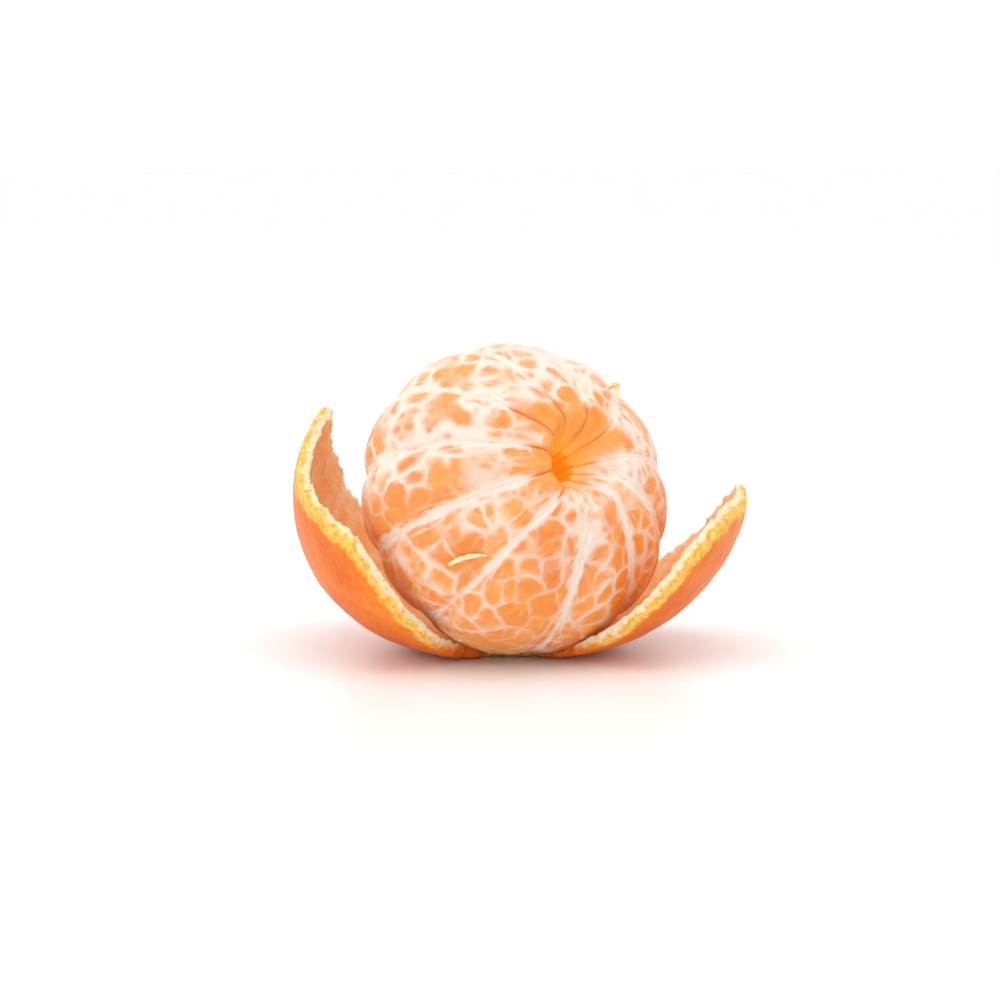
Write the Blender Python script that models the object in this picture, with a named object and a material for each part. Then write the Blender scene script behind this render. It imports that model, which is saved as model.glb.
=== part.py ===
"""A peeled mandarin resting in its own opened peel.

Eleven separate segments stand round a hollow core, leaning so that the open
eye of the fruit looks forward, up and to the right. The peel is one torn skin:
a flat spot to rest on, and three flaps that rise to the left, right and back.
Lengths are in millimetres here and become metres when a mesh is written.
+Z is up, -Y is the front, and the origin is the middle of the peel's flat spot.
"""

import math

import bmesh
import bpy
from mathutils import Euler, Matrix, Vector

for leftover in list(bpy.data.objects):
    bpy.data.objects.remove(leftover)

MM = 0.001

# The fruit without its peel.
FRUIT_RADIUS = 29.7  # from the core's axis out to the equator
FRUIT_HALF_HEIGHT = 22.5  # from the equator to a pole, before the dimples
SHOULDER = 0.9  # below 1 the outline is fuller than an ellipse
CORE_RADIUS = 2.2  # hollow left where the core was pulled out
EYE_WIDENING = 1.5  # extra radius of the hollow at the end that shows
EYE_DEPTH = 9.0  # funnel at the end that shows
EYE_RADIUS = 5.4
EYE_SHIFT = 5.0  # the eye stands off the core's axis, towards 0 degrees
SHIFTED_RADIUS = 16.1  # the shift fades over this distance from the axis
NAVEL_DEPTH = 4.5  # shallow dimple at the other end
NAVEL_RADIUS = 6.0
SEGMENT_GAP = 0.36  # between neighbouring segments
SEGMENT_ROUNDING = 2.6  # how deep the outer edges of a segment are rounded
EDGE_POWER = 2.4  # 2 is an elliptical edge, more is a squarer one

# Angular width of each segment in degrees, and how far it stands proud in mm,
# anticlockwise round the eye from the first side face.
FIRST_SIDE = -1.0
SEGMENTS = [
    (40.5, 0.0),
    (29.5, 0.2),
    (32.0, 0.0),
    (30.5, 0.1),
    (29.0, 0.5),
    (30.5, 0.4),
    (32.0, 0.0),
    (41.0, 0.2),
    (37.0, 0.0),
    (29.0, 0.2),
    (29.0, 0.0),
]

# How the fruit leans, and where it stands.
LEAN = 64.1  # of the core's axis from the vertical, in degrees
TURN = 31.7  # about the vertical, in degrees
FRUIT_FORWARD = 7.2  # the fruit's centre stands in front of the peel's
FRUIT_RIGHT = 1.6  # and to the right of it
SETTLE = 0.5  # depth of the flat that the soft segments take where they rest

# The peel.
PEEL_THICKNESS = 2.6
PRESSED_THICKNESS = 1.5  # under the fruit's resting place
THINNEST = 0.8  # anywhere that the fruit's side presses on it
TORN_EDGE = 0.8  # thickness left at the torn outline, as a share
TORN_BAND = 5.0  # width of the band over which it thins
FLAT_RADIUS = 11.4  # of the spot that it rests on
PEEL_SPREAD = 2.5  # the opened skin's bend is slacker than the fruit by this
PEEL_SKEW = 2.8  # and slacker still by this to the right, tighter to the left
FRUIT_GAP = 0.4  # between the skin and the fruit

# Torn outline, laid out by hand from the places where each flap turns: bearing
# round the flat spot in degrees (0 right, 90 back, 180 left, 270 front), and how
# far the skin reaches from the middle in mm.
TORN_OUTLINE = [
    (9, 60),  # right flap, far corner
    (28, 46),
    (48, 34),  # valley to the right of the back flap
    (70, 48),
    (88, 56),  # back flap, tip
    (113, 42),  # valley to the left of the back flap
    (135, 48),
    (155, 67),  # left flap, far corner
    (175, 75),  # left flap, tip
    (195, 62),
    (225, 54),  # left flap, near corner
    (235, 40),
    (245, 16),  # left flap, where it meets the low front
    (270, 11),  # low front, under the fruit
    (300, 15),  # right flap, where it meets the low front
    (310, 30),
    (320, 50),
    (335, 60),  # right flap, near corner
]
RAGGED = 0.45  # height of the small tears along the outline

# How finely the solids are cut into faces.
STATIONS = 17  # along a segment, pole to pole
EDGE_STEPS = 4  # round each outer edge of a segment
BEARINGS = 120  # round the peel
RINGS = 12  # from the middle of the peel to its outline


def material(name, colour, roughness):
    made = bpy.data.materials.new(name)
    made.use_nodes = True
    shader = made.node_tree.nodes["Principled BSDF"]
    shader.inputs["Base Color"].default_value = (*colour, 1.0)
    shader.inputs["Roughness"].default_value = roughness
    shader.inputs["Metallic"].default_value = 0.0
    return made


def solid(name, vertices, faces, skin):
    """One closed object from points in millimetres, facing outwards."""
    mesh = bpy.data.meshes.new(name)
    body = bmesh.new()
    points = [body.verts.new(Vector(point) * MM) for point in vertices]
    for face in faces:
        body.faces.new([points[index] for index in face])
    bmesh.ops.recalc_face_normals(body, faces=body.faces)
    body.to_mesh(mesh)
    body.free()
    mesh.shade_smooth()
    mesh.set_sharp_from_angle(angle=math.radians(40))
    mesh.materials.append(skin)
    made = bpy.data.objects.new(name, mesh)
    bpy.context.scene.collection.objects.link(made)
    return made


# ---- the fruit ---------------------------------------------------------------


def outline_point(latitude):
    """(distance from the core's axis, height) of the fruit's outline."""
    out = FRUIT_RADIUS * math.cos(latitude) ** SHOULDER
    height = FRUIT_HALF_HEIGHT * math.sin(latitude)
    if latitude > 0:
        height -= EYE_DEPTH * math.exp(-((out / EYE_RADIUS) ** 2))
    else:
        height += NAVEL_DEPTH * math.exp(-((out / NAVEL_RADIUS) ** 2))
    return out, height


def spaced(points, count, extra=0.0):
    """Numbers of the points that part a line into equal lengths.

    Each step along the line counts as its own length and the extra.
    """
    walked = [0.0]
    for before, after in zip(points, points[1:]):
        walked.append(walked[-1] + math.dist(before, after) + extra)
    chosen = []
    for i in range(count):
        target = walked[-1] * i / (count - 1)
        chosen.append(min(range(len(points)), key=lambda k: abs(walked[k] - target)))
    return chosen


def outline_stations():
    """Points evenly spaced along the outline, from the navel to the eye."""
    navel = -math.acos((CORE_RADIUS / FRUIT_RADIUS) ** (1 / SHOULDER))
    eye = math.acos(((CORE_RADIUS + EYE_WIDENING) / FRUIT_RADIUS) ** (1 / SHOULDER))
    fine = [outline_point(navel + (eye - navel) * i / 400) for i in range(401)]
    return [fine[k] for k in spaced(fine, STATIONS)]


def edge_samples():
    """(share of the rounding's depth, share of the half width) from the crest."""
    samples = []
    for i in range(EDGE_STEPS + 1):
        angle = 0.5 * math.pi * i / EDGE_STEPS
        depth = 1 - math.cos(angle) ** (2 / EDGE_POWER) if i < EDGE_STEPS else 1.0
        samples.append((depth, math.sin(angle) ** (2 / EDGE_POWER)))
    return samples


def off_axis(x, y, height):
    """Carries the fruit's upper half sideways towards where the eye stands."""
    rise = max(0.0, height / FRUIT_HALF_HEIGHT)
    fade = math.exp(-((math.hypot(x, y) / SHIFTED_RADIUS) ** 2))
    return x + EYE_SHIFT * rise**2 * fade, y, height


def section(outer, inner, half_width, proud, middle):
    """One cross-section of a segment, from the core edge round and back.

    Its middle is the bearing round the core that the segment faces.
    """
    length = math.dist(outer, inner)
    rounding = min(SEGMENT_ROUNDING, 0.5 * length)
    depths = [(rounding * depth, width) for depth, width in edge_samples()]
    depths += [(0.5 * (rounding + length), 1.0), (length, 1.0)]
    side = []
    for depth, width in depths:
        share = depth / length
        out = outer[0] + (inner[0] - outer[0]) * share + proud * (1 - share)
        height = outer[1] + (inner[1] - outer[1]) * share
        angle = width * (half_width - math.asin(0.5 * SEGMENT_GAP / out))
        side.append((out, angle, height))
    loop = [(out, -angle, height) for out, angle, height in reversed(side)]
    loop += side[1:]
    return [
        off_axis(out * math.cos(middle + angle), out * math.sin(middle + angle), height)
        for out, angle, height in loop
    ]


def segment(name, middle, width, proud):
    """A wedge with rounded outer edges, its thin edge along the hollow core."""
    stations = outline_stations()
    navel, eye = Vector(stations[0]), Vector(stations[-1])
    towards = (math.cos(middle), math.sin(middle))
    vertices = [off_axis(navel[0] * towards[0], navel[0] * towards[1], navel[1])]
    sections = STATIONS - 2
    for i in range(1, STATIONS - 1):
        inner = navel.lerp(eye, i / (STATIONS - 1))
        vertices += section(stations[i], inner, width / 2, proud, middle)
    vertices.append(off_axis(eye[0] * towards[0], eye[0] * towards[1], eye[1]))
    size = (len(vertices) - 2) // sections
    faces = []
    for k in range(size):
        after = (k + 1) % size
        faces.append((0, 1 + after, 1 + k))
        for i in range(sections - 1):
            low = 1 + i * size
            high = low + size
            faces.append((low + k, low + after, high + after, high + k))
        top = 1 + (sections - 1) * size
        faces.append((top + k, top + after, len(vertices) - 1))
    skin = material(name, (0.95, 0.45, 0.12), 0.35)
    return solid(name, vertices, faces, skin)


def rest_at(height, fruit, pieces):
    """Lowers the fruit to a height and flattens it where it rests."""
    bpy.context.view_layer.update()
    lowest = min((p.matrix_world @ v.co).z for p in pieces for v in p.data.vertices)
    fruit.location.z += height - lowest - SETTLE * MM
    bpy.context.view_layer.update()
    for piece in pieces:
        back = piece.matrix_world.inverted()
        for vertex in piece.data.vertices:
            place = piece.matrix_world @ vertex.co
            if place.z < height:
                place.z = height
                vertex.co = back @ place


def build_fruit():
    """Every segment, held by one empty that leans and turns the whole fruit."""
    fruit = bpy.data.objects.new("fruit_axis", None)
    bpy.context.scene.collection.objects.link(fruit)
    fruit.location = (FRUIT_RIGHT * MM, -FRUIT_FORWARD * MM, 0)
    fruit.rotation_euler = (math.radians(LEAN), 0, math.radians(TURN))
    pieces = []
    side = FIRST_SIDE
    for number, (width, proud) in enumerate(SEGMENTS, 1):
        middle = math.radians(side + width / 2)
        piece = segment(f"segment_{number:02d}", middle, math.radians(width), proud)
        piece.parent = fruit
        pieces.append(piece)
        side += width
    rest_at((PRESSED_THICKNESS + FRUIT_GAP) * MM, fruit, pieces)
    return fruit


# ---- the peel ----------------------------------------------------------------


def reach_at(bearing):
    """How far the skin reaches at a bearing, on a smooth line with small tears."""
    bearing %= 360
    knots = [(b - 360, r) for b, r in TORN_OUTLINE[-2:]] + TORN_OUTLINE
    knots += [(b + 360, r) for b, r in TORN_OUTLINE[:2]]
    i = max(k for k in range(1, len(knots) - 2) if knots[k][0] <= bearing)
    (b0, r0), (b1, r1), (b2, r2), (b3, r3) = knots[i - 1 : i + 3]
    t = (bearing - b1) / (b2 - b1)
    start = (r2 - r0) / (b2 - b0) * (b2 - b1)
    end = (r3 - r1) / (b3 - b1) * (b2 - b1)
    smooth = (2 * t**3 - 3 * t**2 + 1) * r1 + (t**3 - 2 * t**2 + t) * start
    smooth += (3 * t**2 - 2 * t**3) * r2 + (t**3 - t**2) * end
    angle = math.radians(bearing)
    tears = math.sin(13 * angle) + 0.7 * math.sin(29 * angle + 1.0)
    return smooth + RAGGED * tears * min(1, smooth / 30)


def torn_bearings():
    """Bearings close together where the torn outline runs nearly straight out."""
    fine = [360 * i / 1440 for i in range(1441)]
    edge = [
        (reach_at(b) * math.cos(math.radians(b)), reach_at(b) * math.sin(math.radians(b)))
        for b in fine
    ]
    return [fine[k] for k in spaced(edge, BEARINGS + 1, 0.05)[:-1]]


def skin_point(bearing, reach):
    """(place, inward normal) on the outside of the opened skin."""
    angle = math.radians(bearing)
    outwards = Vector((math.cos(angle), math.sin(angle), 0))
    if reach <= FLAT_RADIUS:
        return outwards * reach, Vector((0, 0, 1))
    radius = FRUIT_RADIUS + PEEL_SPREAD + PEEL_SKEW * outwards.x
    bend = (reach - FLAT_RADIUS) / radius
    place = outwards * (FLAT_RADIUS + radius * math.sin(bend))
    place.z = radius * (1 - math.cos(bend))
    return place, Vector((0, 0, math.cos(bend))) - outwards * math.sin(bend)


def in_fruit(place, to_fruit):
    """Whether a place is nearer to the fruit than the gap, or inside it."""
    point = to_fruit @ place
    out = math.hypot(point.x, point.y) / (FRUIT_RADIUS + FRUIT_GAP)
    up = abs(point.z) / (FRUIT_HALF_HEIGHT + FRUIT_GAP)
    return place.z > PRESSED_THICKNESS and out ** (2 / SHOULDER) + up**2 < 1


def thickness_at(place, inward, to_edge, to_fruit):
    """The skin's own thickness, less where the edge is torn or the fruit presses."""
    torn = min(1, to_edge / TORN_BAND)
    whole = PEEL_THICKNESS * (TORN_EDGE + (1 - TORN_EDGE) * torn)
    step = 0.05
    thickness = THINNEST
    while thickness < whole:
        if in_fruit(place + inward * (thickness + step), to_fruit):
            break
        thickness += step
    return thickness


def build_peel(fruit):
    """One torn skin: an outside, an inside and the torn edge that joins them."""
    to_world = Matrix.Translation(fruit.location / MM)
    to_world @= Euler(fruit.rotation_euler).to_matrix().to_4x4()
    to_fruit = to_world.inverted()
    up = Vector((0, 0, 1))
    outside = [Vector()]
    inside = [up * thickness_at(Vector(), up, FLAT_RADIUS, to_fruit)]
    for bearing in torn_bearings():
        end = reach_at(bearing)
        for ring in range(1, RINGS + 1):
            reach = end * ring / RINGS
            place, inward = skin_point(bearing, reach)
            thickness = thickness_at(place, inward, end - reach, to_fruit)
            outside.append(place)
            inside.append(place + inward * thickness)
    vertices = outside + inside
    lift = len(outside)
    faces = []
    for k in range(BEARINGS):
        here = 1 + k * RINGS
        there = 1 + (k + 1) % BEARINGS * RINGS
        faces.append((0, there, here))
        faces.append((lift, lift + here, lift + there))
        for ring in range(RINGS - 1):
            a, b, c, d = here + ring, here + ring + 1, there + ring + 1, there + ring
            faces.append((a, d, c, b))
            faces.append((lift + a, lift + b, lift + c, lift + d))
        a, b = here + RINGS - 1, there + RINGS - 1
        faces.append((a, b, lift + b, lift + a))
    skin = material("peel", (0.95, 0.33, 0.03), 0.45)
    return solid("peel", vertices, faces, skin)


build_peel(build_fruit())
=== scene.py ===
import math

import bmesh
import bpy
import numpy as np
from mathutils import Euler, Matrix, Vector, kdtree
from mathutils.bvhtree import BVHTree
from mathutils.geometry import delaunay_2d_cdt


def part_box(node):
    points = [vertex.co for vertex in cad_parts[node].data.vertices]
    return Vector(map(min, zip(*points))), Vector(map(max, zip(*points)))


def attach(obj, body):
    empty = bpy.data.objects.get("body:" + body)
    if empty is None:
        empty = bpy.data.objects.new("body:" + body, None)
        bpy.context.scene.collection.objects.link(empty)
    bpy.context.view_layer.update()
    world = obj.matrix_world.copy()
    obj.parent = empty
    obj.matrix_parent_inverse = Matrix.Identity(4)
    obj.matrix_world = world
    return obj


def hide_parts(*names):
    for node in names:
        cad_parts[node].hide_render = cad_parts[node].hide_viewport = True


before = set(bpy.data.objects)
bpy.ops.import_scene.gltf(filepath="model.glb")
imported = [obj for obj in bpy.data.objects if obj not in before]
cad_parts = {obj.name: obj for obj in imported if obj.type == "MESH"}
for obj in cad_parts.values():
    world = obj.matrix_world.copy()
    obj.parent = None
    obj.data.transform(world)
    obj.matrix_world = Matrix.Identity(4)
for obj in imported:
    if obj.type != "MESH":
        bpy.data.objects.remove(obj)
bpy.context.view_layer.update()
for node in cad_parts.values():
    node.select_set(False)

# ---- The table, the light and the camera ------------------------------------
# A plain white table top under a large overhead softbox, with a second softbox
# on the left and a bright white room all round.

bpy.ops.mesh.primitive_plane_add(size=6.0)
table = bpy.context.object
table.name = "table"
table_paint = bpy.data.materials.new("table_white")
table_paint.use_nodes = True
table_shader = table_paint.node_tree.nodes["Principled BSDF"]
table_shader.inputs["Base Color"].default_value = (0.955, 0.955, 0.955, 1)
table_shader.inputs["Roughness"].default_value = 0.32
table_shader.subsurface_method = "BURLEY"
table_shader.inputs["Subsurface Weight"].default_value = 0.7
table_shader.inputs["Subsurface Radius"].default_value = (1.0, 0.3, 0.3)
table_shader.inputs["Subsurface Scale"].default_value = 0.015
table.data.materials.append(table_paint)

room = bpy.data.worlds.new("white_room")
room.use_nodes = True
room.node_tree.nodes["Background"].inputs["Color"].default_value = (1.0, 1.0, 1.0, 1)
room.node_tree.nodes["Background"].inputs["Strength"].default_value = 1.03
bpy.context.scene.world = room
bpy.context.scene.view_settings.view_transform = "Standard"


def softbox(name, place, aim, width, power):
    """A square studio light at a place, turned to what it lights."""
    lamp = bpy.data.lights.new(name, "AREA")
    lamp.shape = "SQUARE"
    lamp.size = width
    lamp.energy = power
    made = bpy.data.objects.new(name, lamp)
    made.location = place
    made.rotation_euler = (Vector(aim) - Vector(place)).to_track_quat("-Z", "Y").to_euler()
    bpy.context.scene.collection.objects.link(made)


softbox("overhead_softbox", (0.02, -0.10, 0.75), (0, 0, 0.02), 0.6, 1.3)
softbox("left_softbox", (-0.70, -0.45, 0.45), (0, 0, 0.03), 0.4, 1.0)

VIEW_HEIGHT = math.radians(8.0)
VIEW_DISTANCE = 0.56
lens = bpy.data.cameras.new("view")
lens.sensor_width = 36.0
lens.lens = 107.0
lens.clip_start = 0.01
view = bpy.data.objects.new("view", lens)
view.location = (
    -0.0014,
    -0.0072 - VIEW_DISTANCE * math.cos(VIEW_HEIGHT),
    0.0295 + VIEW_DISTANCE * math.sin(VIEW_HEIGHT),
)
view.rotation_euler = (math.pi / 2 - VIEW_HEIGHT, 0, 0)
bpy.context.scene.collection.objects.link(view)
bpy.context.scene.camera = view

# ---- The segments -------------------------------------------------------------
# Eleven wedges of juice sacs, each in its own thin wet membrane, with a net of
# white pith left on them where the peel came away. They stand round the hollow
# left by the core, and more pith fills the grooves between them. A surface that
# grew has no moulded or cut form, so each skin is laid out point by point.

MM = 0.001  # lengths are in millimetres until a mesh is made
FRUIT_RADIUS = 29.7  # from the core's axis out to the equator
FRUIT_HALF_HEIGHT = 22.5  # from the equator to a pole, before the dimples
SHOULDER = 0.9  # below 1 the outline is fuller than an ellipse
CORE_RADIUS = 2.2  # hollow left where the core was pulled out
EYE_WIDENING = 0.5  # extra radius of the hollow at the eye
EYE_SKEW = 3.4  # how far the bottom of the eye leans back towards the core
SKEWED_RADIUS = 5.5  # the skew fades over this distance from the axis
EYE_DEPTH = 9.0
EYE_RADIUS = 5.4
EYE_SHIFT = 5.0  # the eye stands off the core's axis, towards 0 degrees
SHIFTED_RADIUS = 16.1  # the shift fades over this distance from the axis
NAVEL_DEPTH = 4.5
NAVEL_RADIUS = 6.0
LEAN = 64.1  # of the core's axis from the vertical, in degrees
TURN = 31.7  # about the vertical, in degrees
FRUIT_PLACE = (1.6, -7.2)
REST_HEIGHT = 1.9  # none of the fruit goes lower, as it stands on the peel
# Where the side faces stand, in degrees round the core, and how proud each segment is.
SIDES = np.cumsum([-1.0, 40.5, 29.5, 32.0, 30.5, 29.0, 30.5, 32.0, 41.0, 37.0, 29.0, 29.0])
PROUD = (0.0, 0.2, 0.0, 0.1, 0.5, 0.4, 0.0, 0.2, 0.0, 0.2, 0.0)
CLEAN_SIDE = 126.0  # degrees round the core, where the bare membranes reach furthest
CLEAN_REACH = 9.3
NET_RADIUS = 27.0  # the pith net is laid out as if the fruit were this wide all along
ALONG = 400  # rows of points along a segment, navel to eye
ACROSS_SPACING = 0.19  # between its points across, at the equator

lean = np.array(Euler((math.radians(LEAN), 0, math.radians(TURN))).to_matrix())


def noise(points, size, seed):
    """Smooth noise from -1 to 1 with lumps of about that size, in millimetres."""
    q = np.asarray(points, float) / size + seed * 7.31
    cell = np.floor(q).astype(np.int64)
    f = q - cell
    f = f * f * (3 - 2 * f)
    total = 0.0
    for dx in (0, 1):
        for dy in (0, 1):
            for dz in (0, 1):
                h = (cell[..., 0] + dx) * 374761393 + (cell[..., 1] + dy) * 668265263
                h = h + (cell[..., 2] + dz) * 2147483647 + seed * 1274126177
                h = (h ^ (h >> 13)) * 1274126177
                h = (h ^ (h >> 16)) & 0xFFFF
                wx = f[..., 0] if dx else 1 - f[..., 0]
                wy = f[..., 1] if dy else 1 - f[..., 1]
                wz = f[..., 2] if dz else 1 - f[..., 2]
                total = total + wx * wy * wz * (h / 32767.5 - 1)
    return total


def step(low, high, x):
    """0 below low, 1 above high, smooth between; high may be the smaller one."""
    t = np.clip((x - low) / (high - low), 0, 1)
    return t * t * (3 - 2 * t)


def outline_of_fruit(count):
    """Points and outward normals along the outline, from the navel to the eye."""
    navel = -math.acos((CORE_RADIUS / FRUIT_RADIUS) ** (1 / SHOULDER))
    eye = math.acos(((CORE_RADIUS + EYE_WIDENING) / FRUIT_RADIUS) ** (1 / SHOULDER))
    latitude = np.linspace(navel, eye, 4001)
    out = FRUIT_RADIUS * np.cos(latitude) ** SHOULDER
    height = FRUIT_HALF_HEIGHT * np.sin(latitude)
    height -= np.where(latitude > 0, EYE_DEPTH * np.exp(-((out / EYE_RADIUS) ** 2)), 0)
    height += np.where(latitude > 0, 0, NAVEL_DEPTH * np.exp(-((out / NAVEL_RADIUS) ** 2)))
    walked = np.concatenate([[0], np.cumsum(np.hypot(np.diff(out), np.diff(height)))])
    wanted = np.linspace(0, walked[-1], count)
    out, height = np.interp(wanted, walked, out), np.interp(wanted, walked, height)
    across, up = np.gradient(out, wanted), np.gradient(height, wanted)
    return out, height, up, -across, wanted


def to_fruit_place(out, angle, height):
    """World place in millimetres of a point round the core, before it is settled."""
    x, y = out * np.cos(angle), out * np.sin(angle)
    rise = np.maximum(0, height / FRUIT_HALF_HEIGHT)
    fade = np.exp(-(x * x + y * y) / SHIFTED_RADIUS**2)
    skew = EYE_SKEW * rise**0.5 * np.exp(-(x * x + y * y) / SKEWED_RADIUS**2)
    local = np.stack([x + EYE_SHIFT * rise**2 * fade - skew, y + 0.3 * skew, height], -1)
    return local @ lean.T + [*FRUIT_PLACE, 0]


def scattered(width, length, across, along, seed):
    """Uneven points over a strip, for the middles of the windows in the net."""
    random = np.random.RandomState(seed)
    rows = []
    for j in range(int(length / along) + 3):
        count = int(width / across) + 3
        u = (np.arange(count) - (count - 1) / 2 + 0.5 * (j % 2)) * across
        v = np.full(count, (j - 1) * along)
        rows.append(np.stack([u, v], -1))
    places = np.concatenate(rows)
    places += random.uniform(-0.42, 0.42, places.shape) * [across, along]
    return places[random.rand(len(places)) > 0.14]


def between_windows(u, v, narrow, middles):
    """Distance from the nearest edge between windows, and the window's number."""
    nearest = np.full((3, len(u)), 1e9)
    number = np.zeros(len(u), int)
    for i, (a, b) in enumerate(middles):
        d = np.hypot((u - a) * narrow, v - b)
        closer = d < nearest[0]
        number[closer] = i
        nearest[2] = np.minimum(nearest[2], np.maximum(nearest[1], d))
        nearest[1] = np.minimum(nearest[1], np.maximum(nearest[0], d))
        nearest[0] = np.minimum(nearest[0], d)
    edge = 0.5 * (nearest[1] - nearest[0])
    corner = 0.5 * (nearest[2] - nearest[0])
    return np.minimum(edge, 0.62 * corner), number


def mesh_object(name, places, faces, values):
    """A smooth object from places in millimetres, with a value at each vertex."""
    mesh = bpy.data.meshes.new(name)
    mesh.vertices.add(len(places))
    mesh.vertices.foreach_set("co", (places * MM).ravel())
    mesh.loops.add(sum(len(f) * f.shape[1] for f in faces))
    mesh.loops.foreach_set("vertex_index", np.concatenate([f.ravel() for f in faces]))
    sizes = np.concatenate([np.full(len(f), f.shape[1]) for f in faces])
    mesh.polygons.add(len(sizes))
    mesh.polygons.foreach_set("loop_start", np.concatenate([[0], np.cumsum(sizes)[:-1]]))
    mesh.update(calc_edges=True)
    mesh.validate()
    mesh.shade_smooth()
    for key, value in values.items():
        stored = mesh.attributes.new(key, "FLOAT", "POINT")
        stored.data.foreach_set("value", np.asarray(value, np.float32))
    made = bpy.data.objects.new(name, mesh)
    bpy.context.scene.collection.objects.link(made)
    return made


out, height, lean_out, lean_up, walked = outline_of_fruit(ALONG)
all_round = np.radians(np.arange(0, 360, 2.0))
highest = max(to_fruit_place(out, a, height)[:, 2].max() for a in all_round)
cad_top = max(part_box(f"segment_{n:02d}")[1].z for n in range(1, 12)) / MM
lift = cad_top - highest


def segment_skin(number):
    """One segment: its netted outer skin, its two flat sides and its thin inner edge."""
    low, high = np.radians(SIDES[number - 1 : number + 1])
    middle, half = (low + high) / 2, (high - low) / 2
    columns = int(round(half * FRUIT_RADIUS * 2 / ACROSS_SPACING))
    share = np.linspace(-1, 1, columns)
    past = 1 + np.outer(1 / (half * out), [0.14, 0, -0.05])
    a = np.concatenate([-past, share * (1 - 0.16 / (half * out))[:, None], past[:, ::-1]], axis=1)
    columns += 6
    a = a.ravel()
    t = np.repeat(np.arange(ALONG), columns)
    o, h, no, nu, v = out[t], height[t], lean_out[t], lean_up[t], walked[t]
    length = walked[-1]
    flat = to_fruit_place(o, middle + a * half, h)
    narrow = np.clip(o / NET_RADIUS, 0.12, 1)
    u = a * half * NET_RADIUS
    to_side = np.maximum(0, o * half * (1 - np.abs(a)))
    beyond = np.maximum(0, o * half * (np.abs(a) - 1))
    # low marks the lower middle of the fruit, where the pith is made thinner and sparser so the flesh shows
    # darker orange: partly the pith's own spread, partly painted shade.
    low = step(46, 18, flat[:, 2] + lift) * (1 - 0.6 * step(10, 30, np.abs(flat[:, 0] - 4)))

    # Round the eye the membranes came away clean, most of all at the upper left.
    turned = np.cos(middle + a * half - math.radians(CLEAN_SIDE))
    reach = CLEAN_REACH + 5.0 * turned + 2.4 * noise(flat, 4.0, 41)
    clean = step(reach + 2.0, reach - 2.5, o) * (h > 0)
    bare = step(reach - 1.0, reach - 6.0, o) * (h > 0)
    near = step(20.0, 12.0, o) * (h > 0) * step(-0.6, 0.3, turned)

    # The membrane arches between the grooves, which the pith fills part way.
    arch = 1 - (1 - np.minimum(1, np.abs(a)) ** 2.4) ** (1 / 2.4)
    size = np.minimum(1, o * 0.28 / 6.5)
    groove = (0.55 + 0.3 * noise(flat, 7.0, 3)) * size
    filled = groove * np.exp(-((to_side / 2.2) ** 2)) + 0.45 * size * np.minimum(1, a * a)
    depth = filled + ((1.5 + 1.0 * size) * size * arch - filled) * clean

    # The net: wide strands round big windows, thin ones within them.
    wobble = np.stack([noise(flat, 3.2, 11), noise(flat, 3.2, 12)], -1) * 1.0
    wobble += np.stack([noise(flat, 1.1, 13), noise(flat, 1.1, 14)], -1) * 0.3
    uu, vv = u + wobble[:, 0] / narrow, v + wobble[:, 1]
    width = 2 * half * NET_RADIUS
    big, window = between_windows(uu, vv, narrow, scattered(width, length, 3.9, 5.0, number))
    small, _ = between_windows(uu, vv, narrow, scattered(width, length, 2.2, 2.8, 50 + number))
    apart = step(0, 0.6, to_side)
    each = reach + 3.5 * noise(np.stack([window, window, window], -1), 0.7, 63)
    cleared = step(each + 1.5, each - 1.0, o) * (h > 0)
    # whitened rises towards the top and the left of the fruit, thickening the pith there and paling its
    # haze: partly the pith's own spread, partly painted light on the side the lamps face.
    whitened = step(-0.5, 0.7, noise(flat, 15.0, 42) + 0.5 * (flat[:, 2] + 6 - flat[:, 0]) / 30)
    thick = 0.05 + 0.44 * step(-0.6, 0.7, noise(flat, 5.0, 21)) + 0.12 * whitened - 0.2 * low
    thick = thick - 0.25 * near
    strand = step(thick + 0.75, thick - 0.25, big) * step(-0.75, 0.0, noise(flat, 6.0, 22))
    strand = strand * (1 - 0.25 * low)
    thin = 0.04 + 0.2 * step(-0.4, 0.6, noise(flat, 3.0, 23)) + 0.12 * whitened
    thread = step(thin + 0.6, thin - 0.14, small) * step(-0.3, 0.5, noise(flat, 6.5, 24))
    thread = thread * (1 - 0.35 * low)
    strand, thread = strand * apart * (1 - bare), thread * apart * (1 - 0.9 * cleared)

    # Pith in the grooves, and fibres that run along them.
    along = np.stack([u * narrow * 2.6, v * 0.28, np.full(len(u), 9.0 * number)], -1)
    fibre = step(0.0, 0.7, noise(along, 1.0, 31))
    band = 0.64 + 0.7 * noise(flat, 6.0, 32) + 0.3 * noise(flat, 1.3, 33) - 0.25 * low
    seam = step(band + 0.9, band - 0.5, to_side)
    near_seam = step(band + 3.0, band, to_side)
    seam = seam * (1 - 0.93 * clean)
    beside = fibre * near_seam * (1 - seam) * (1 - clean) * 0.8

    navel = step(14, 5, o) * (h < 0)
    mottle = noise(flat, 0.9, 43)
    haze = 0.06 + 0.17 * whitened + 0.18 * np.exp(-big / 0.8) + 0.07 * mottle - 0.05 * low
    haze = haze * (1 - 0.6 * near)
    pith = 1 - (1 - 0.86 * strand) * (1 - 0.5 * thread) * (1 - 0.97 * seam) * (1 - beside)
    pith = 1 - (1 - pith) * (1 - 0.85 * navel * (0.5 + 0.5 * fibre))
    pith = np.clip(pith + haze * (1 - pith) * (1 - 0.8 * cleared), 0, 1)

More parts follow.
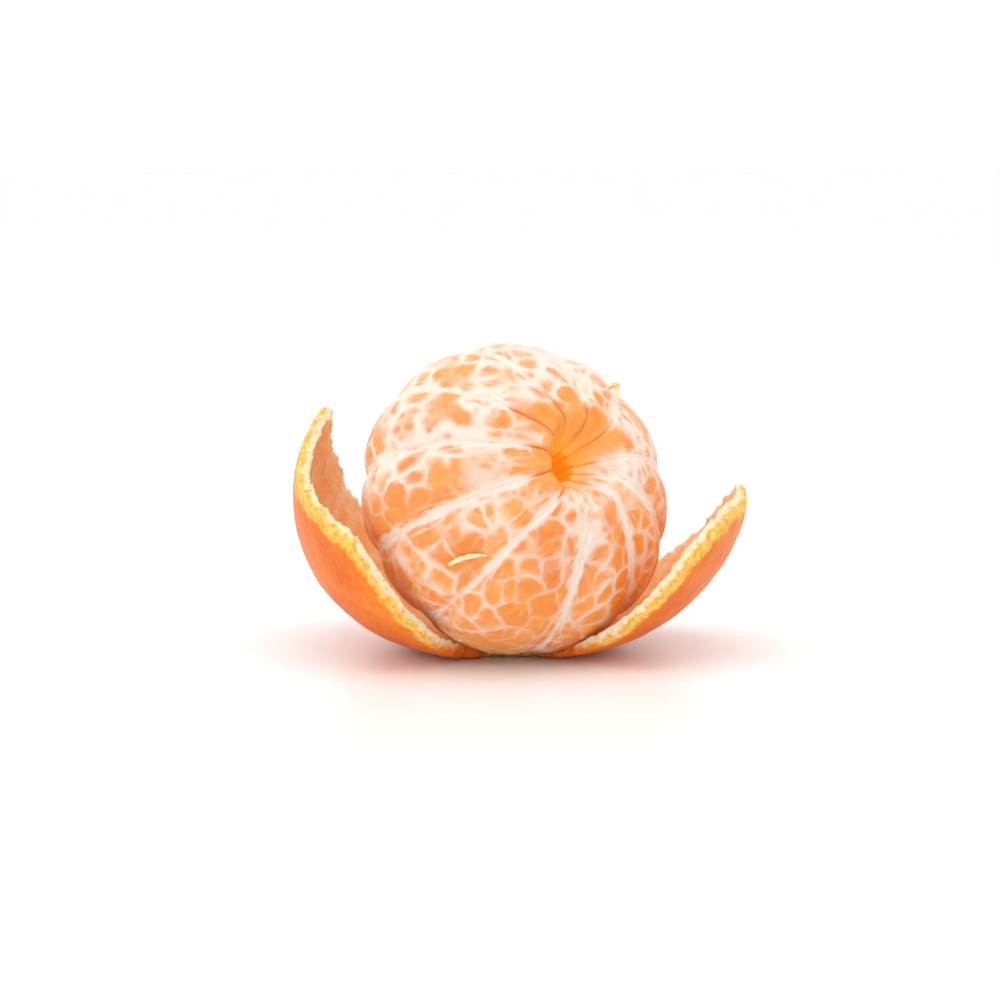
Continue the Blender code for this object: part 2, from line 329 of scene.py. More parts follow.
    cushion = 0.24 * (1 - np.exp(-big / 0.8)) * apart * (1 - seam)
    fuzz = 0.045 * noise(flat, 0.55, 51) + 0.05 * noise(flat, 1.6, 53)
    sacs = np.stack([u * narrow * 1.0, v * 0.4, np.full(len(u), 5.0 * number)], -1)
    sac = noise(sacs, 1.0, 52)
    rise = 0.24 * strand + 0.10 * thread + 0.36 * seam + 0.12 * beside
    rise = rise * np.minimum(1, size + 0.2)
    rise = rise + cushion * size + fuzz * pith + 0.04 * sac * (1 - pith) * apart
    push = rise + PROUD[number - 1] * np.maximum(0, 1 - a * a)
    depth = depth - push + 1.6 * beyond
    skin = to_fruit_place(o - depth * no, middle + a * half, h - depth * nu)
    skin = skin.reshape(ALONG, columns, 3)

    # The flat sides and the thin edge along the hollow core.
    inner_out = np.linspace(out[0], out[-1], ALONG)
    inner_up = np.linspace(height[0], height[-1], ALONG)
    rows = [[], []]
    for down in (0.1, 0.3, 0.6, 0.85, 1.0):
        so = out + (inner_out - out) * down
        sh = height + (inner_up - height) * down
        angle = half - np.arcsin(0.18 / so)
        rows[0].append(to_fruit_place(so, middle - angle, sh))
        rows[1].append(to_fruit_place(so, middle + angle, sh))
    loop = np.concatenate(
        [np.stack(rows[0][::-1], 1), skin, np.stack(rows[1], 1)], axis=1
    )
    loop[..., 2] = np.maximum(loop[..., 2] + lift, REST_HEIGHT)
    loop = loop[3:-3]
    count, size = loop.shape[:2]
    ends = np.stack([loop[0].mean(0), loop[-1].mean(0)])
    places = np.concatenate([loop.reshape(-1, 3), ends])
    i, k = np.meshgrid(np.arange(count - 1), np.arange(size), indexing="ij")
    k2 = (k + 1) % size
    quads = np.stack([i * size + k, i * size + k2, (i + 1) * size + k2, (i + 1) * size + k], -1)
    k = np.arange(size)
    k2 = (k + 1) % size
    first, last = count * size, count * size + 1
    caps = np.concatenate(
        [
            np.stack([np.full(size, first), k2, k], -1),
            np.stack([(count - 1) * size + k, (count - 1) * size + k2, np.full(size, last)], -1),
        ]
    )

    def whole(value, at_navel, at_eye):
        """The value all round each row, with its own for the flat sides and the core."""
        edge = np.repeat(np.interp(height, (-6, 2), (at_navel, at_eye))[:, None], 5, axis=1)
        grid = np.concatenate([edge, value.reshape(ALONG, columns), edge], axis=1)
        return np.concatenate([grid[3:-3].ravel(), [at_navel, at_eye]])

    # The tone is the flesh's own uneven tone, plus a lift of 0.25 where the membranes are clean round the
    # eye: painted light that offsets the shade and red bounce in the hollow.
    tone = 0.45 + 0.35 * noise(flat, 9.0, 61) + 0.2 * sac + 0.12 * mottle
    tone = tone + 0.3 * noise(np.stack([window, window, window], -1), 0.7, 62) + 0.25 * clean
    # Round the hollow the flesh is painted with a glow: emission that stands in for daylight coming through
    # the thin flesh.
    painted_glow = step(8.0, 2.7, o) * (h > -6) * (0.2 + 0.8 * clean) * 0.8
    values = {
        "pith": whole(pith, 0.97, 0.12),
        "painted_glow": whole(painted_glow, 0.0, 0.75),
        "tone": whole(tone, 0.5, 0.5),
    }
    return mesh_object(f"fruit_segment_{number:02d}", places, [quads.reshape(-1, 4), caps], values)


def shader_of(name):
    """A new material with its nodes, its links and its Principled shader."""
    paint = bpy.data.materials.new(name)
    paint.use_nodes = True
    tree = paint.node_tree
    return paint, tree.nodes, tree.links, tree.nodes["Principled BSDF"]


def ramp(nodes, stops):
    """A colour ramp from (position, red, green, blue) stops."""
    made = nodes.new("ShaderNodeValToRGB")
    band = made.color_ramp
    while len(band.elements) < len(stops):
        band.elements.new(0.5)
    for element, (position, *colour) in zip(band.elements, stops):
        element.position = position
        element.color = (*colour, 1)
    return made


# The fine grain of pith, which the membranes, the dried pith and the peel share.
pith_grain = bpy.data.node_groups.new("pith_grain", "ShaderNodeTree")
for socket, in_out in (("Scale", "INPUT"), ("Detail", "INPUT"), ("Grain", "OUTPUT")):
    pith_grain.interface.new_socket(socket, in_out=in_out, socket_type="NodeSocketFloat")
grain_in = pith_grain.nodes.new("NodeGroupInput")
grain_out = pith_grain.nodes.new("NodeGroupOutput")
grain_place = pith_grain.nodes.new("ShaderNodeTexCoord")
grain_noise = pith_grain.nodes.new("ShaderNodeTexNoise")
pith_grain.links.new(grain_place.outputs["Object"], grain_noise.inputs["Vector"])
pith_grain.links.new(grain_in.outputs["Scale"], grain_noise.inputs["Scale"])
pith_grain.links.new(grain_in.outputs["Detail"], grain_noise.inputs["Detail"])
pith_grain.links.new(grain_noise.outputs["Fac"], grain_out.inputs["Grain"])


def grain(nodes, scale, detail):
    """The grain of pith as a value, at a material's own scale and detail."""
    made = nodes.new("ShaderNodeGroup")
    made.node_tree = pith_grain
    made.inputs["Scale"].default_value = scale
    made.inputs["Detail"].default_value = detail
    return made.outputs["Grain"]


membrane, nodes, links, shader = shader_of("segment_membrane")
pith_value = nodes.new("ShaderNodeAttribute")
pith_value.attribute_name = "pith"
tone_value = nodes.new("ShaderNodeAttribute")
tone_value.attribute_name = "tone"
# Flesh colours from the tone, lighter and more yellow towards 1; the clean area round the eye is pushed
# lighter by painted light.
flesh_tone_and_painted_light = ramp(nodes, [(0.0, 0.84, 0.21, 0.010), (0.5, 0.88, 0.29, 0.025), (1.0, 0.92, 0.39, 0.07)])
links.new(tone_value.outputs["Fac"], flesh_tone_and_painted_light.inputs["Fac"])
cover_stops = ((0.0, 0.0), (0.3, 0.1), (0.6, 0.5), (0.85, 0.9), (1.0, 1.0))
cover = ramp(nodes, [(position, grey, grey, grey) for position, grey in cover_stops])
links.new(pith_value.outputs["Fac"], cover.inputs["Fac"])
blend = nodes.new("ShaderNodeMix")
blend.data_type = "RGBA"
blend.inputs["B"].default_value = (0.88, 0.75, 0.65, 1)
links.new(cover.outputs["Color"], blend.inputs["Factor"])
links.new(flesh_tone_and_painted_light.outputs["Color"], blend.inputs["A"])
links.new(blend.outputs["Result"], shader.inputs["Base Color"])
gloss = nodes.new("ShaderNodeMapRange")
gloss.inputs["To Min"].default_value = 0.34
gloss.inputs["To Max"].default_value = 0.62
links.new(pith_value.outputs["Fac"], gloss.inputs["Value"])
links.new(gloss.outputs["Result"], shader.inputs["Roughness"])
raised = nodes.new("ShaderNodeBump")
raised.inputs["Strength"].default_value = 0.35
raised.inputs["Distance"].default_value = 0.00012
links.new(grain(nodes, 2600.0, 3.0), raised.inputs["Height"])
links.new(raised.outputs["Normal"], shader.inputs["Normal"])
shader.inputs["Subsurface Weight"].default_value = 0.15
shader.inputs["Subsurface Radius"].default_value = (1.0, 0.6, 0.35)
shader.inputs["Subsurface Scale"].default_value = 0.0007
# Painted glow: an orange emission round the hollow, painted light that no lamp gives.
painted_glow_value = nodes.new("ShaderNodeAttribute")
painted_glow_value.attribute_name = "painted_glow"
through = ramp(nodes, [(0.0, 0, 0, 0), (0.4, 0.10, 0.03, 0.0), (1.0, 0.50, 0.17, 0.0)])
links.new(painted_glow_value.outputs["Fac"], through.inputs["Fac"])
links.new(through.outputs["Color"], shader.inputs["Emission Color"])
shader.inputs["Emission Strength"].default_value = 1.0

segments = []
for number in range(1, 12):
    piece = segment_skin(number)
    segments.append(piece)
    piece.data.materials.append(membrane)
    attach(piece, "root")
    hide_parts(f"segment_{number:02d}")

# ---- The loose pith threads ------------------------------------------------------
# Fine white threads of pith that lifted as the skin came off. They are still held
# at one end, mostly along the grooves, with one pale curl on the front.


def fibres(name, paths, girths, values):
    """Thin tapered three-sided fibres along paths (fibre, point, xyz)."""
    paths = np.asarray(paths, float)
    many, long, _ = paths.shape
    along = np.gradient(paths, axis=1)
    along /= np.maximum(1e-9, np.linalg.norm(along, axis=2))[..., None]
    side = np.cross(along, [0.31, 0.52, 0.79])
    side /= np.linalg.norm(side, axis=2)[..., None]
    other = np.cross(along, side)
    girth = np.asarray(girths)[:, None, None]
    taper = np.linspace(1, 0.35, long)[None, :, None]
    rings = [
        paths + girth * taper * (side * math.cos(turn) + other * math.sin(turn))
        for turn in (0, 2.0944, 4.1888)
    ]
    rings = np.stack(rings, 2).reshape(many, long * 3, 3)
    tips = np.stack([paths[:, 0], paths[:, -1] + along[:, -1] * girth[:, 0] * 0.5], 1)
    places = np.concatenate([rings, tips], axis=1)
    quads, ends = [], []
    for i in range(long - 1):
        for k in range(3):
            n = (k + 1) % 3
            quads.append([i * 3 + k, i * 3 + n, i * 3 + 3 + n, i * 3 + 3 + k])
    for k in range(3):
        n = (k + 1) % 3
        ends.append([long * 3, n, k])
        ends.append([long * 3 - 3 + k, long * 3 - 3 + n, long * 3 + 1])
    size = long * 3 + 2
    offset = (np.arange(many) * size)[:, None, None]
    quads = (np.array(quads)[None] + offset).reshape(-1, 4)
    ends = (np.array(ends)[None] + offset).reshape(-1, 3)
    values = {key: np.full(many * size, value) for key, value in values.items()}
    return mesh_object(name, places.reshape(-1, 3), [quads, ends], values)


def on_skin(turn, walk, off):
    """A place off the fruit's outline, at degrees round the core and millimetres along."""
    angle = np.radians(turn)
    o, h = np.interp(walk, walked, out), np.interp(walk, walked, height)
    no, nu = np.interp(walk, walked, lean_out), np.interp(walk, walked, lean_up)
    return to_fruit_place(o + off * no, angle, h + off * nu) + [0, 0, lift]


def smooth_path(points, count):
    """A smooth path through a few points."""
    points = np.asarray(points, float)
    whole = np.concatenate([[2 * points[0] - points[1]], points, [2 * points[-1] - points[-2]]])
    t = np.linspace(0, len(points) - 1 - 1e-6, count)
    i, f = t.astype(int), (t - t.astype(int))[:, None]
    a, b, c, d = (whole[i + k] for k in range(4))
    return b + 0.5 * f * (c - a + f * (2 * a - 5 * b + 4 * c - d + f * (3 * (b - c) + d - a)))


random = np.random.RandomState(4)
wisp_paths, wisp_girths = [], []
for piece in segments:
    body = piece.data
    spots = np.zeros(len(body.vertices) * 3)
    body.vertices.foreach_get("co", spots)
    spots = spots.reshape(-1, 3) / MM
    ways = np.zeros(len(body.vertices) * 3)
    body.vertex_normals.foreach_get("vector", ways)
    ways = ways.reshape(-1, 3)
    covered = np.zeros(len(body.vertices))
    body.attributes["pith"].data.foreach_get("value", covered)
    across = (len(body.vertices) - 2) // ALONG
    whiter = np.flatnonzero((covered > 0.86) & (spots[:, 2] > 5.0))
    whiter = whiter[(whiter > across * 4) & (whiter < len(spots) - across * 4 - 2)]
    for i in random.choice(whiter, 24, replace=False):
        along = spots[i + across] - spots[i - across]
        along *= random.choice([-1, 1]) / np.linalg.norm(along)
        sideways = np.cross(ways[i], along)
        long = random.uniform(0.9, 2.6)
        raised = long * random.choice([0.04, 0.1, 0.2, 0.35], p=[0.4, 0.3, 0.2, 0.1])
        bend = random.uniform(-0.45, 0.45)
        s = np.linspace(0, 1, 7)[:, None]
        path = spots[i] - ways[i] * 0.05 + along * s * long
        path = path + sideways * bend * long * s**2 + ways[i] * raised * s**1.6
        path[:, 2] = np.maximum(path[:, 2], REST_HEIGHT + 0.2)
        wisp_paths.append(path)
        wisp_girths.append(random.uniform(0.05, 0.10))
wisps = fibres("pith_threads", wisp_paths, wisp_girths, {"pith": 1.0, "tone": 0.5})
wisps.data.materials.append(membrane)
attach(wisps, "root")

# The curl bows off the skin, swings round the core and lies down where it ends.
CURL_TURN, CURL_SWING = 211.0, 7.0  # degrees round the core
CURL_START, CURL_LENGTH = 49.0, 7.0  # millimetres along the skin
CURL_RISE, CURL_ROOT = 1.25, 0.4  # millimetres off the skin, and down into it
s = np.linspace(0, 1, 24)
curl = on_skin(
    CURL_TURN + CURL_SWING * s**2.7,
    CURL_START + CURL_LENGTH * s * (1.2 - 0.2 * s),
    CURL_RISE * np.sin(math.pi * s) - CURL_ROOT * (1 - s),
)
stub = smooth_path(
    [
        on_skin(45.0, 57.9, -0.2),
        on_skin(44.0, 58.4, 0.9),
        on_skin(42.5, 59.4, 1.3),
        on_skin(41.0, 60.6, 0.8),
        on_skin(40.0, 61.5, -0.1),
    ],
    24,
)
frill = smooth_path(
    [
        on_skin(47.0, 59.0, -0.2),
        on_skin(45.0, 59.0, 1.2),
        on_skin(44.0, 59.8, 2.2),
        on_skin(46.0, 60.6, 2.4),
        on_skin(48.0, 60.4, 1.5),
    ],
    24,
)


def tube(name, path, girths, sides, values):
    """A closed rounded strand along a path, with a girth at each point."""
    along = np.gradient(path, axis=0)
    along /= np.linalg.norm(along, axis=1)[:, None]
    side = np.cross(along, [0.2, 0.9, 0.4])
    side /= np.linalg.norm(side, axis=1)[:, None]
    other = np.cross(along, side)
    turns = np.linspace(0, 2 * math.pi, sides, endpoint=False)
    rings = [side * math.cos(t) + 0.7 * other * math.sin(t) for t in turns]
    rings = path[:, None] + np.stack(rings, 1) * np.asarray(girths)[:, None, None]
    rings += (0.16 * noise(rings, 0.7, 91) * np.asarray(girths)[:, None] * 2)[..., None]
    count = len(path)
    places = np.concatenate([rings.reshape(-1, 3), [path[0], path[-1]]])
    i, k = np.meshgrid(np.arange(count - 1), np.arange(sides), indexing="ij")
    n = (k + 1) % sides
    quads = np.stack([i * sides + k, i * sides + n, (i + 1) * sides + n, (i + 1) * sides + k], -1)
    k = np.arange(sides)
    n = (k + 1) % sides
    ends = [np.stack([np.full(sides, count * sides), n, k], -1)]
    last = (count - 1) * sides
    ends.append(np.stack([last + k, last + n, np.full(sides, count * sides + 1)], -1))
    values = {key: np.full(len(places), value) for key, value in values.items()}
    return mesh_object(name, places, [quads.reshape(-1, 4), np.concatenate(ends)], values)


swell = np.sin(np.linspace(0.25, math.pi - 0.15, 24)) ** 0.7
dried, nodes, links, shader = shader_of("dried_pith")
cream = ramp(nodes, [(0.3, 0.90, 0.68, 0.28), (0.6, 0.95, 0.86, 0.58)])
links.new(grain(nodes, 900.0, 2.0), cream.inputs["Fac"])
links.new(cream.outputs["Color"], shader.inputs["Base Color"])
shader.inputs["Roughness"].default_value = 0.7
for name, path, girth in (("pith_curl", curl, 0.5), ("pith_stub", stub, 0.55), ("pith_frill", frill, 0.36)):
    strand = tube(name, path, girth * swell, 12, {})
    strand.data.materials.append(dried)
    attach(strand, "root")

# ---- The peel ------------------------------------------------------------------
# The skin is still one piece, torn open from the top and spread like a dish: an
# orange outside full of oil glands, a thick soft white inside, and a ragged torn
# edge that shows both. It is laid out flat, then bent over the place it covered.

FLAT_RADIUS = 11.4
PEEL_SPREAD = 2.5
PEEL_SKEW = 2.8
SPACING = 0.52  # between points of the skin laid flat


def skin_place(flat):
    """(place, inward normal) on the outside of the skin, from its place laid flat."""
    reach = np.maximum(1e-6, np.hypot(flat[:, 0], flat[:, 1]))
    way = np.concatenate([flat / reach[:, None], np.zeros((len(flat), 1))], axis=1)
    radius = FRUIT_RADIUS + PEEL_SPREAD + PEEL_SKEW * way[:, 0]
    bend = np.maximum(0, reach - FLAT_RADIUS) / radius
    place = way * (np.minimum(reach, FLAT_RADIUS) + radius * np.sin(bend))[:, None]
    place[:, 2] = radius * (1 - np.cos(bend))
    inward = -way * np.sin(bend)[:, None]
    inward[:, 2] = np.cos(bend)
    return place, inward


def torn_outline(node):
    """The torn edge laid flat: the furthest corner of the skin at each bearing."""
    corners = np.array([corner.co for corner in node.data.vertices]) / MM
    bearing = np.arctan2(corners[:, 1], corners[:, 0])
    radius = FRUIT_RADIUS + PEEL_SPREAD + PEEL_SKEW * np.cos(bearing)
    over = np.hypot(corners[:, 0], corners[:, 1]) - FLAT_RADIUS
    bend = np.arctan2(over, radius - corners[:, 2])
    reach = np.where(over < 0, over, radius * bend) + FLAT_RADIUS
    off = np.where(over < 0, corners[:, 2], radius - np.hypot(over, corners[:, 2] - radius))
    on_outside = np.abs(off) < 0.02
    turns = []
    for b, r in sorted(zip(bearing[on_outside], reach[on_outside])):
        if turns and b - turns[-1][0] < 0.004:
            turns[-1] = max(turns[-1], (b, r), key=lambda turn: turn[1])
        else:
            turns.append((b, r))
    if turns[0][0] + 2 * math.pi - turns[-1][0] < 0.004:
        turns[-1] = max(turns.pop(0), turns[-1], key=lambda turn: turn[1])
    return np.array([[r * math.cos(b), r * math.sin(b)] for b, r in turns if r > FLAT_RADIUS - 0.5])


def rounded_loop(points, spacing):
    """A smooth closed line through points, cut into equal lengths."""
    a, b, c, d = (np.roll(points, k, axis=0)[:, None] for k in (1, 0, -1, -2))
    t = np.linspace(0, 1, 20, endpoint=False)[None, :, None]
    fine = b + 0.5 * t * (c - a + t * (2 * a - 5 * b + 4 * c - d + t * (3 * (b - c) + d - a)))
    fine = fine.reshape(-1, 2)
    fine = np.concatenate([fine, fine[:1]])
    walked = np.concatenate([[0], np.cumsum(np.hypot(*np.diff(fine, axis=0).T))])
    wanted = np.linspace(0, walked[-1], int(walked[-1] / spacing), endpoint=False)
    return np.stack([np.interp(wanted, walked, fine[:, k]) for k in (0, 1)], -1)


def loop_ways(loop):
    """Outward directions along a closed line that runs anticlockwise."""
    along = np.roll(loop, -2, axis=0) - np.roll(loop, 2, axis=0)
    along /= np.linalg.norm(along, axis=1)[:, None]
    return np.stack([along[:, 1], -along[:, 0]], -1)


peel_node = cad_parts["peel"]
edge_loop = rounded_loop(torn_outline(peel_node), SPACING * 0.8)
edge_out = loop_ways(edge_loop)
edge_place = skin_place(edge_loop)[0]
nibble = 0.45 * noise(edge_place, 2.6, 71) + 0.38 * noise(edge_place, 1.1, 72) - 0.2
nibble = nibble * (1 + 0.5 * step(6, 22, edge_place[:, 2]))
edge_loop = edge_loop + edge_out * nibble[:, None]
rim = len(edge_loop)
rim_tree = kdtree.KDTree(rim)
for i, (x, y) in enumerate(edge_loop):
    rim_tree.insert((x, y, 0), i)
rim_tree.balance()

widest = np.hypot(edge_loop[:, 0], edge_loop[:, 1]).max()
random = np.random.RandomState(8)
rows = np.arange(-widest, widest, SPACING * 0.866)
lattice = []
for j, y in enumerate(rows):
    x = np.arange(-widest, widest, SPACING) + 0.5 * SPACING * (j % 2)
    lattice.append(np.stack([x, np.full(len(x), y)], -1))
lattice = np.concatenate(lattice)
lattice += random.uniform(-0.12, 0.12, lattice.shape) * SPACING
edge_bearing = np.arctan2(edge_loop[:, 1], edge_loop[:, 0])
order = np.argsort(edge_bearing)
edge_at = edge_bearing[order]
reach_at = np.hypot(edge_loop[:, 0], edge_loop[:, 1])[order]
bearing = np.arctan2(lattice[:, 1], lattice[:, 0])
limit = np.interp(bearing, edge_at, reach_at, period=2 * math.pi)
lattice = lattice[np.hypot(lattice[:, 0], lattice[:, 1]) < limit]
gaps = np.array([rim_tree.find((x, y, 0))[2] for x, y in lattice])
lattice = lattice[gaps > SPACING * 0.62]
spread = np.concatenate([edge_loop, lattice])
ring = [(i, (i + 1) % rim) for i in range(rim)]
cut = delaunay_2d_cdt([Vector(p) for p in spread], ring, [], 1, 1e-6)
sheet_flat = np.array([list(p) for p in cut[0]])
sheet_faces = np.array([f for f in cut[2] if len(f) == 3])
first_use = {source[0]: i for i, source in enumerate(cut[3]) if source}
edge_ids = np.array([first_use[i] for i in range(rim)])

found = [rim_tree.find((x, y, 0)) for x, y in sheet_flat]
to_rim = np.array([f[2] for f in found])
rim_way = edge_out[[f[1] for f in found]]
skin_at, skin_in = skin_place(sheet_flat)

merged = bmesh.new()
merged.from_mesh(peel_node.data)
bmesh.ops.remove_doubles(merged, verts=merged.verts, dist=1e-6)
solid = BVHTree.FromBMesh(merged)
thickness = np.full(len(sheet_flat), 2.1)
for i, (place, inward) in enumerate(zip(skin_at, skin_in)):
    start = Vector(place + inward * 0.4) * MM
    hit = solid.ray_cast(start, Vector(inward), 0.004)
    if hit[3] is not None:
        thickness[i] = 0.4 + hit[3] / MM
merged.free()
pairs = np.concatenate([sheet_faces[:, [0, 1]], sheet_faces[:, [1, 2]], sheet_faces[:, [2, 0]]])
for _ in range(int(6 / SPACING)):
    total, times = np.zeros(len(thickness)), np.zeros(len(thickness))
    np.add.at(total, pairs[:, 0], thickness[pairs[:, 1]])
    np.add.at(times, pairs[:, 0], 1)
    thickness = 0.5 * thickness + 0.5 * total / np.maximum(1, times)

# The outside tears a little short of the inside, and curls at the tear.
short = np.maximum(0.15, 0.7 + 0.5 * noise(skin_at, 3.0, 73) + 0.35 * noise(skin_at, 1.1, 74))
pull = short * np.maximum(0, 1 - to_rim / 3.2)
outer_flat = sheet_flat - rim_way * pull[:, None]
outer, outer_in = skin_place(outer_flat)
skin_wave = 0.16 * noise(outer, 8.0, 75) + 0.07 * noise(outer, 2.6, 76) + 0.03 * noise(outer, 1.2, 77)
sunk = 0.35 * np.exp(-to_rim / 0.9)
outer = outer + outer_in * (skin_wave + sunk + 0.05)[:, None]
inner_wave = 0.10 * noise(skin_at, 3.5, 78) + 0.07 * noise(skin_at, 1.2, 79)
veins = 1 - np.abs(noise(skin_at, 4.0, 80))
tufts = (0.25 + 0.45 * noise(skin_at, 1.3, 81)) * np.exp(-to_rim / 1.6)
room_left = step(1.5, 2.5, thickness)
pillow = inner_wave + tufts + 0.10 * (veins - 0.6)
inner = skin_at + skin_in * (thickness + pillow * room_left - 0.05)[:, None]
outer[:, 2] = np.maximum(0, outer[:, 2])

# The torn face between them, thick and fibrous.
steps = 7
face_rows = []
rim_outer, rim_inner = outer[edge_ids], inner[edge_ids]
away = skin_place(edge_loop + edge_out * 0.1)[0] - skin_place(edge_loop - edge_out * 0.1)[0]
away /= np.linalg.norm(away, axis=1)[:, None]
for k in range(1, steps):
    part = k / steps
    row = rim_outer + (rim_inner - rim_outer) * part
    shred = 0.28 * math.sin(math.pi * part) + 0.42 * noise(row, 0.8, 82) * math.sin(math.pi * part)
    face_rows.append(row + away * shred[:, None])
face_rows = np.array(face_rows)
count = len(sheet_flat)
face_ids = 2 * count + np.arange((steps - 1) * rim).reshape(-1, rim)
ids = np.concatenate([[edge_ids], face_ids, [edge_ids + count]])
outer_row, inner_row = ids[:-1], ids[1:]
next_outer, next_inner = np.roll(outer_row, -1, 1), np.roll(inner_row, -1, 1)
strip = np.stack([outer_row, next_outer, next_inner, inner_row], -1).reshape(-1, 4)
outside_faces = sheet_faces[:, ::-1]
places = np.concatenate([outer, inner, face_rows.reshape(-1, 3)])
places[:, 2] = np.maximum(0, places[:, 2])
strip_count = (steps - 1) * rim
part = np.repeat(np.arange(1, steps) / steps, rim)
torn_width = 1.2 + 1.3 * step(4, 34, skin_at[:, 2])
torn_width = torn_width + 0.8 * noise(skin_at, 3.0, 83) + 0.7 * noise(skin_at, 0.9, 84)
torn = np.concatenate([step(torn_width + 0.8, torn_width - 0.9, to_rim), np.ones(count + strip_count)])
white = step(0.5, 0.0, to_rim + 0.35 * noise(skin_at, 0.8, 85))
ragged = part + 0.35 * noise(face_rows.reshape(-1, 3), 0.9, 87)
white = np.concatenate([white * 0.4, np.ones(count), step(0.2, 0.65, ragged)])
# Under the front of the fruit the edge is coloured as orange skin, with the white and the yellow of the
# torn edge taken off.
under = np.concatenate([places[: 2 * count], face_rows.reshape(-1, 3)])
orange_under_front = step(-9, -13, under[:, 1]) * step(24, 16, np.abs(under[:, 0] - 2)) * step(5.5, 2.5, under[:, 2])
white = white * (1 - 0.97 * orange_under_front)
torn = torn * (1 - orange_under_front)
fluff = np.concatenate(
    [
        np.zeros(count) + 0.6,
        np.clip(0.9 * np.exp(-to_rim / 1.4) + 0.3 * veins**4 + 0.22 * noise(skin_at, 2.0, 86), 0, 1),
        np.ones(strip_count),
    ]
)
skin_faces = [outside_faces, sheet_faces + count, strip]
skin = mesh_object("peel_skin", places, skin_faces, {"torn": torn, "white": white, "fluff": fluff})
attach(skin, "root")
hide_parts("peel")

leather, nodes, links, shader = shader_of("peel")
where = nodes.new("ShaderNodeTexCoord")


def attribute(nodes, name):
    """The value that the piece's mesh stores under a name."""
    made = nodes.new("ShaderNodeAttribute")
    made.attribute_name = name
    return made.outputs["Fac"]


def mixed(nodes, links, share, first, second):
    """A colour between two; each is a socket or a colour."""
    made = nodes.new("ShaderNodeMix")
    made.data_type = "RGBA"
    links.new(share, made.inputs["Factor"])
    for key, value in (("A", first), ("B", second)):
        if isinstance(value, tuple):
            made.inputs[key].default_value = (*value, 1)
        else:
            links.new(value, made.inputs[key])
    return made.outputs["Result"]


glands = nodes.new("ShaderNodeTexVoronoi")
glands.inputs["Scale"].default_value = 950.0
links.new(where.outputs["Object"], glands.inputs["Vector"])
patches = nodes.new("ShaderNodeTexNoise")
patches.inputs["Scale"].default_value = 130.0
patches.inputs["Detail"].default_value = 4.0
links.new(where.outputs["Object"], patches.inputs["Vector"])
orange = ramp(nodes, [(0.3, 0.79, 0.135, 0.004), (0.5, 0.86, 0.185, 0.006), (0.7, 0.91, 0.25, 0.012)])
links.new(patches.outputs["Fac"], orange.inputs["Fac"])
dot = ramp(nodes, [(0.0, 1, 1, 1), (0.25, 0.6, 0.6, 0.6), (0.42, 0, 0, 0)])
links.new(glands.outputs["Distance"], dot.inputs["Fac"])
dimmed = nodes.new("ShaderNodeMath")
dimmed.operation = "MULTIPLY"
dimmed.inputs[1].default_value = 0.6
links.new(dot.outputs["Color"], dimmed.inputs[0])
dotted = mixed(nodes, links, dimmed.outputs["Value"], orange.outputs["Color"], (0.78, 0.14, 0.006))
flecks = nodes.new("ShaderNodeTexNoise")
flecks.inputs["Scale"].default_value = 1100.0
flecks.inputs["Detail"].default_value = 2.0
links.new(where.outputs["Object"], flecks.inputs["Vector"])
yellow = ramp(nodes, [(0.32, 0.89, 0.33, 0.015), (0.5, 0.92, 0.50, 0.045), (0.7, 0.94, 0.67, 0.18)])
links.new(flecks.outputs["Fac"], yellow.inputs["Fac"])
yellowed = mixed(nodes, links, attribute(nodes, "torn"), dotted, yellow.outputs["Color"])
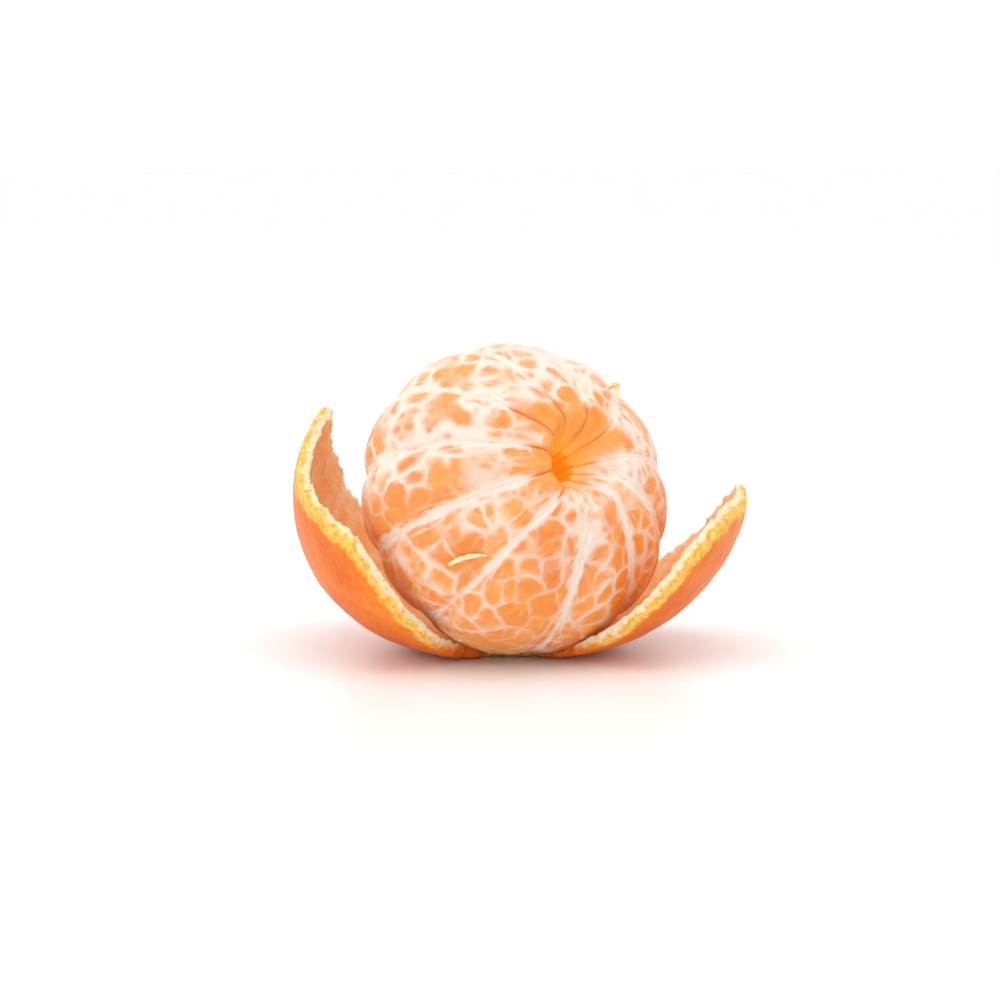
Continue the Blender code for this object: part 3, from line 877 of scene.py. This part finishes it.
# Where it is not fluffy, the inside of the peel is peach orange: partly the pith's own colour, partly
# painted light, the orange the fruit throws on it and a lift against its shade.
pale = mixed(nodes, links, attribute(nodes, "fluff"), (0.96, 0.43, 0.15), (0.95, 0.82, 0.57))
links.new(mixed(nodes, links, attribute(nodes, "white"), yellowed, pale), shader.inputs["Base Color"])
gloss = nodes.new("ShaderNodeMapRange")
gloss.inputs["To Min"].default_value = 0.4
gloss.inputs["To Max"].default_value = 0.9
links.new(attribute(nodes, "white"), gloss.inputs["Value"])
links.new(gloss.outputs["Result"], shader.inputs["Roughness"])
fluffy = grain(nodes, 1500.0, 4.0)
bumps = mixed(nodes, links, attribute(nodes, "white"), glands.outputs["Distance"], fluffy)
raised = nodes.new("ShaderNodeBump")
raised.inputs["Strength"].default_value = 0.8
raised.inputs["Distance"].default_value = 0.0003
links.new(bumps, raised.inputs["Height"])
links.new(raised.outputs["Normal"], shader.inputs["Normal"])
shader.inputs["IOR"].default_value = 1.36
shader.inputs["Specular IOR Level"].default_value = 0.3
shader.inputs["Subsurface Weight"].default_value = 0.1
shader.inputs["Subsurface Radius"].default_value = (1.0, 0.45, 0.15)
shader.inputs["Subsurface Scale"].default_value = 0.001
skin.data.materials.append(leather)

# The torn pith ends in short soft fibres and tufts all along the edge.
EDGE_FIBRES = 520  # tried, as the low front of the edge is left without
random = np.random.RandomState(12)
fibre_paths, fibre_girths = [], []
for _ in range(EDGE_FIBRES):
    i = random.randint(rim)
    across = random.uniform(0.25, 1.0)
    k = min(steps - 2, int(across * (steps - 1)))
    root = face_rows[k, i]
    if root[1] < -9 and root[2] < 4.5 and -20 < root[0] < 24:
        continue
    along = edge_place[(i + 3) % rim] - edge_place[i - 3]
    along /= np.linalg.norm(along)
    through = rim_inner[i] - rim_outer[i]
    through /= np.linalg.norm(through)
    way = away[i] * random.uniform(0.4, 1.0) + through * random.uniform(-0.2, 1.0)
    way = way + along * random.uniform(-0.7, 0.7)
    way /= np.linalg.norm(way)
    long = random.uniform(0.3, 0.8)
    droop = np.cross(way, along) * random.uniform(-0.4, 0.4)
    s = np.linspace(0, 1, 5)[:, None]
    path = root + way * (s * long - 0.15) + droop * long * s**2
    path[:, 2] = np.maximum(path[:, 2], 0.12)
    fibre_paths.append(path)
    fibre_girths.append(random.uniform(0.08, 0.2) if random.rand() > 0.15 else random.uniform(0.25, 0.38))
torn_white = {"torn": 1.0, "white": 1.0, "fluff": 1.0}
edge_fibres = fibres("torn_edge_fibres", fibre_paths, fibre_girths, torn_white)
edge_fibres.data.materials.append(leather)
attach(edge_fibres, "root")
